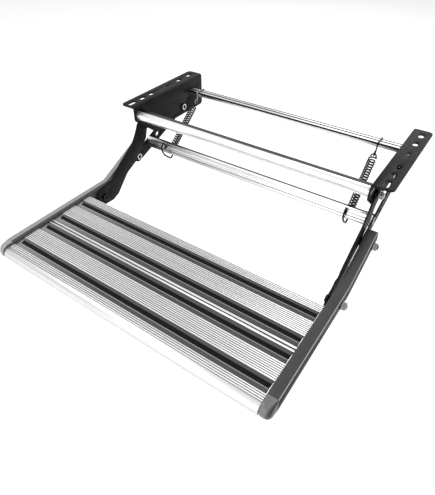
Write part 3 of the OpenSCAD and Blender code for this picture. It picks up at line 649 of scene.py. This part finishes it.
# Springs and hooks, in millimetres; the coils and the lower hooks are drawn thicker than in the CAD
WIRE = 2.4
COIL_WIRE = 2.9
COIL_R = 17 / 2 - COIL_WIRE / 2
CURLS = 20
CURL_STEPS = 20
LOOP_R = 5
HOOK_R = 3 / 2
LOW_HOOK_R = 1.9
EYE_IN_R = 3
SEAT_GAP = 0.3
HOOK_SEAT = HOOK_R + SEAT_GAP
EYE_R = EYE_IN_R + HOOK_R
EYE_SLACK = EYE_IN_R - WIRE / 2 - SEAT_GAP
EYE_DROP = 11
RAIL_R = 1
PATH_STEPS = 6
WEB_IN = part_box("right_bracket")[0].x / MM
SPRING_X = {"left": (30.5 - WEB_IN, 45.5 - WEB_IN), "right": (WEB_IN - 47, WEB_IN - 38.5)}


def spring_half(length):
    """End loop, bend into the coil, and half of the curls, along X from the end."""
    bend = COIL_R / 3
    start = 2 * LOOP_R + bend / 2
    first = asin(bend / COIL_R)
    pitch = (length - 2 * start) / (CURLS - 2 * first / (2 * pi))
    points = [Vector((LOOP_R * (1 - cos(a)), LOOP_R * sin(a), 0)) for a in angles(-150, 90, 16)]
    for share in (0.5, 1.0):
        x = LOOP_R + (start - bend - LOOP_R) * share
        points.append(Vector((x, LOOP_R + (COIL_R - LOOP_R) * share, 0)))
    step = 2 * pi / CURL_STEPS
    for i in range(floor((CURLS * pi - first) / step) + 1):
        a = first + step * i
        x = start + pitch * (a - first) / (2 * pi)
        points.append(Vector((x, COIL_R * cos(a), COIL_R * sin(a))))
    return points


def make_spring(side):
    top_x, foot_x = SPRING_X[side]
    top = Vector((top_x, *anchor))
    low = Vector((foot_x, *foot))
    length = (low - top).length
    half = spring_half(length)
    path = half + [Vector((length - p.x, p.y, -p.z)) for p in reversed(half)]
    along = (low - top).normalized()
    u = (Vector((1, 0, 0)) - along.x * along).normalized()
    v = along.cross(u)
    placed = [(top + p.x * along + p.y * u + p.z * v) * MM for p in path]
    piece = tube(side + "_spring_wire", [placed], COIL_WIRE / 2 * MM)
    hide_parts(side + "_spring")
    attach(piece, side + "_spring_body")
    return piece


def upper_hook_path():
    """Over the rear rail and round its corners, then an eye in front of it."""
    low, high = (corner.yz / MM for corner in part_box("rear_rail"))
    mid = (low + high) / 2
    turn_r = RAIL_R + HOOK_SEAT
    rear_turn = arc(Vector((high.x - RAIL_R, high.y - RAIL_R)), turn_r, 0, 90, 2)
    front_turn = arc(Vector((low.x + RAIL_R, high.y - RAIL_R)), turn_r, 90, 180, 2)
    arch = [
        Vector((high.x + HOOK_SEAT, mid.y + 1)), *rear_turn, Vector((mid.x, high.y + HOOK_SEAT)),
        *front_turn, Vector((low.x - HOOK_SEAT, mid.y)),
    ]
    eye = Vector((low.x - HOOK_SEAT - EYE_R, low.y - EYE_DROP))
    return smooth_path(arch, PATH_STEPS) + arc(eye, EYE_R, 0, -265, 28)


def lower_hook_path():
    """A curl in front of the lower bar, a sweep below it, then an eye behind it."""
    front, low = -BAR_W / 2 - LOW_HOOK_R, -BAR_H / 2 - LOW_HOOK_R
    route = [
        (front - 0.5, -1.5), (front - 0.7, 4), (front - 3, 9.5), (front - 6.9, 11.9),
        (front - 11, 9.3), (front - 12.8, 2.9), (front - 8.8, -7.8), (front + 0.7, low - 4.2),
        (6.5, low - 12.7), (13.5, low - 16), (20, low - 11), (22, low - 3),
    ]
    shank = smooth_path([bar_centre + bar_turn @ Vector(p) for p in route], PATH_STEPS)
    eye = foot - EYE_SLACK * pull
    return shank + arc(eye, EYE_IN_R + LOW_HOOK_R, -15, 225, 24)


def make_hooks(name, path, end, radius, body):
    """A left and a right hook on one path, at an end of the springs: 0 the upper, 1 the lower."""
    paths = [[Vector((SPRING_X[side][end], p.x, p.y)) * MM for p in path] for side in ("left", "right")]
    piece = tube(name + "_wire", paths, radius * MM)
    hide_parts(name)
    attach(piece, body)
    return piece


# Moulded end caps, in millimetres
CAP_NOSE_ROUND = 9.0
CAP_SEAM_ROUND = 1.2
CAP_INNER_ROUND = 5.0
CAP_SIDE_STEPS = 6
CAP_NOSE_STEPS = 24
CAP_INNER_STEPS = 4
CAP_OUTER_STEPS = 8


def cap_outline(low, high, seam):
    """Side view of a bullnose: points, their inward ways, and a share from 0 at the seam to 1 ahead."""
    nose_r = (high.z - low.z) / 2
    centre = Vector((low.y + nose_r, low.z + nose_r))
    straight = seam - centre.x
    shares = [i / CAP_SIDE_STEPS for i in range(CAP_SIDE_STEPS + 1)]
    top = [(Vector((seam - straight * share, high.z)), Vector((0, -1)), share * 0.5) for share in shares]
    nose = []
    for i, a in enumerate(angles(90, 270, CAP_NOSE_STEPS)[1:-1], 1):
        way = Vector((cos(a), sin(a)))
        nose.append((centre + nose_r * way, -way, 0.5 + 0.5 * sin(pi * i / CAP_NOSE_STEPS)))
    under = [
        (Vector((centre.x + straight * share, low.z)), Vector((0, 1)), (1 - share) * 0.5)
        for share in shares
    ]
    return top + nose + under


def make_cap(side):
    """A bullnose rounded along both sides, more at the nose than at the seam."""
    node = side + "_end_cap"
    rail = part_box(side + "_side_rail")
    low, high = (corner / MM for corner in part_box(node))
    outward = 1 if side == "right" else -1
    x_in = low.x if outward > 0 else high.x
    x_out = high.x if outward > 0 else low.x
    outline = cap_outline(low, high, rail[0].y / MM)
    steps = [("inner", a) for a in angles(0, 90, CAP_INNER_STEPS)]
    steps += [("outer", a) for a in angles(0, 90, CAP_OUTER_STEPS)]
    mesh = bmesh.new()
    loops = []
    for edge, a in steps:
        loop = []
        for point, inward, share in outline:
            if edge == "inner":
                ahead = max(2 * share - 1, 0)
                curve = CAP_SEAM_ROUND + (CAP_INNER_ROUND - CAP_SEAM_ROUND) * ahead
                x = x_in + outward * curve * (1 - cos(a))
                inset = curve * (1 - sin(a))
            else:
                curve = CAP_SEAM_ROUND + (CAP_NOSE_ROUND - CAP_SEAM_ROUND) * share
                x = x_out - outward * curve * (1 - sin(a))
                inset = curve * (1 - cos(a))
            at = point + inward * inset
            loop.append(mesh.verts.new(Vector((x, at.x, at.y)) * MM))
        loops.append(loop)
    bridge(mesh, loops)
    mesh.faces.new(loops[0])
    mesh.faces.new(loops[-1])
    piece = finish_piece(node + "_moulding", mesh)
    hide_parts(node)
    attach(piece, "tread")
    return piece


# Stage and light, in metres and watts
FLOOR_Z = -0.34
FLOOR_SIZE = 14
FLOOR_GLOW = 0.4
AMBIENT = 0.5
BACKDROP = 1.0
LAMP_SIZE = 1.6
LAMP_TARGET = Vector((0, -0.2, -0.1))
LAMPS = {
    "key": ((-1.2, -1.3, 1.9), 26),
    "fill": ((1.9, -0.6, 0.9), 9),
    "front": ((-0.1, -2.2, 0.35), 10),
    "back": ((0.2, 1.7, 1.2), 12),
}


def make_world():
    """Soft white light, under a white backdrop that shows to the camera, in mirrors and through glass."""
    world = bpy.data.worlds.new("studio")
    bpy.context.scene.world = world
    world.use_nodes = True
    tree = world.node_tree
    ambient = tree.nodes["Background"]
    seen = tree.nodes.new("ShaderNodeBackground")
    for shader, strength in ((ambient, AMBIENT), (seen, BACKDROP)):
        shader.inputs["Color"].default_value = (1, 1, 1, 1)
        shader.inputs["Strength"].default_value = strength
    ray = tree.nodes.new("ShaderNodeLightPath")
    showing = ray.outputs["Is Camera Ray"]
    for name in ("Is Glossy Ray", "Is Transmission Ray"):
        either = tree.nodes.new("ShaderNodeMath")
        either.operation = "MAXIMUM"
        tree.links.new(showing, either.inputs[0])
        tree.links.new(ray.outputs[name], either.inputs[1])
        showing = either.outputs[0]
    mix = tree.nodes.new("ShaderNodeMixShader")
    tree.links.new(showing, mix.inputs["Fac"])
    tree.links.new(ambient.outputs[0], mix.inputs[1])
    tree.links.new(seen.outputs[0], mix.inputs[2])
    tree.links.new(mix.outputs[0], tree.nodes["World Output"].inputs["Surface"])


def make_floor():
    mesh = bmesh.new()
    bmesh.ops.create_grid(mesh, x_segments=2, y_segments=2, size=FLOOR_SIZE / 2)
    floor_piece = finish_piece("studio_floor", mesh)
    floor_piece.location.z = FLOOR_Z
    look = Look("studio_floor", roughness=0.9)
    look.shader.inputs["Base Color"].default_value = (0.9, 0.9, 0.9, 1)
    look.shader.inputs["Specular IOR Level"].default_value = 0.0
    look.shader.inputs["Emission Color"].default_value = (1, 1, 1, 1)
    ray = look.node("ShaderNodeLightPath")
    seen = look.maths("MAXIMUM", ray.outputs["Is Camera Ray"], ray.outputs["Is Glossy Ray"])
    look.set("Emission Strength", look.times(seen, FLOOR_GLOW))
    floor_piece.data.materials.append(look.material)


def make_lamp(name, at, watts):
    data = bpy.data.lights.new(name, "AREA")
    data.shape = "DISK"
    data.size = LAMP_SIZE
    data.energy = watts
    lamp = bpy.data.objects.new(name, data)
    lamp.location = at
    lamp.rotation_mode = "QUATERNION"
    lamp.rotation_quaternion = (Vector(at) - LAMP_TARGET).to_track_quat("Z", "Y")
    bpy.context.collection.objects.link(lamp)


def make_studio():
    bpy.context.scene.view_settings.view_transform = "Standard"
    make_world()
    make_floor()
    for name, (at, watts) in LAMPS.items():
        make_lamp(name, at, watts)


make_camera()
finishes = make_finishes()
dress_frame(finishes)

for side in ("left", "right"):
    spring = make_spring(side)
    spring.data.materials.append(finishes["spring_steel"])
    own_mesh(spring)
    make_cap(side).data.materials.append(finishes[side + "_end_cap"])
upper_hooks = make_hooks("upper_hooks", upper_hook_path(), 0, HOOK_R, "root")
upper_hooks.data.materials.append(finishes["upper_hooks"])
lower_hooks = make_hooks("lower_hooks", lower_hook_path(), 1, LOW_HOOK_R, "rear_links")
lower_hooks.data.materials.append(finishes["dark_wire"])

make_studio()
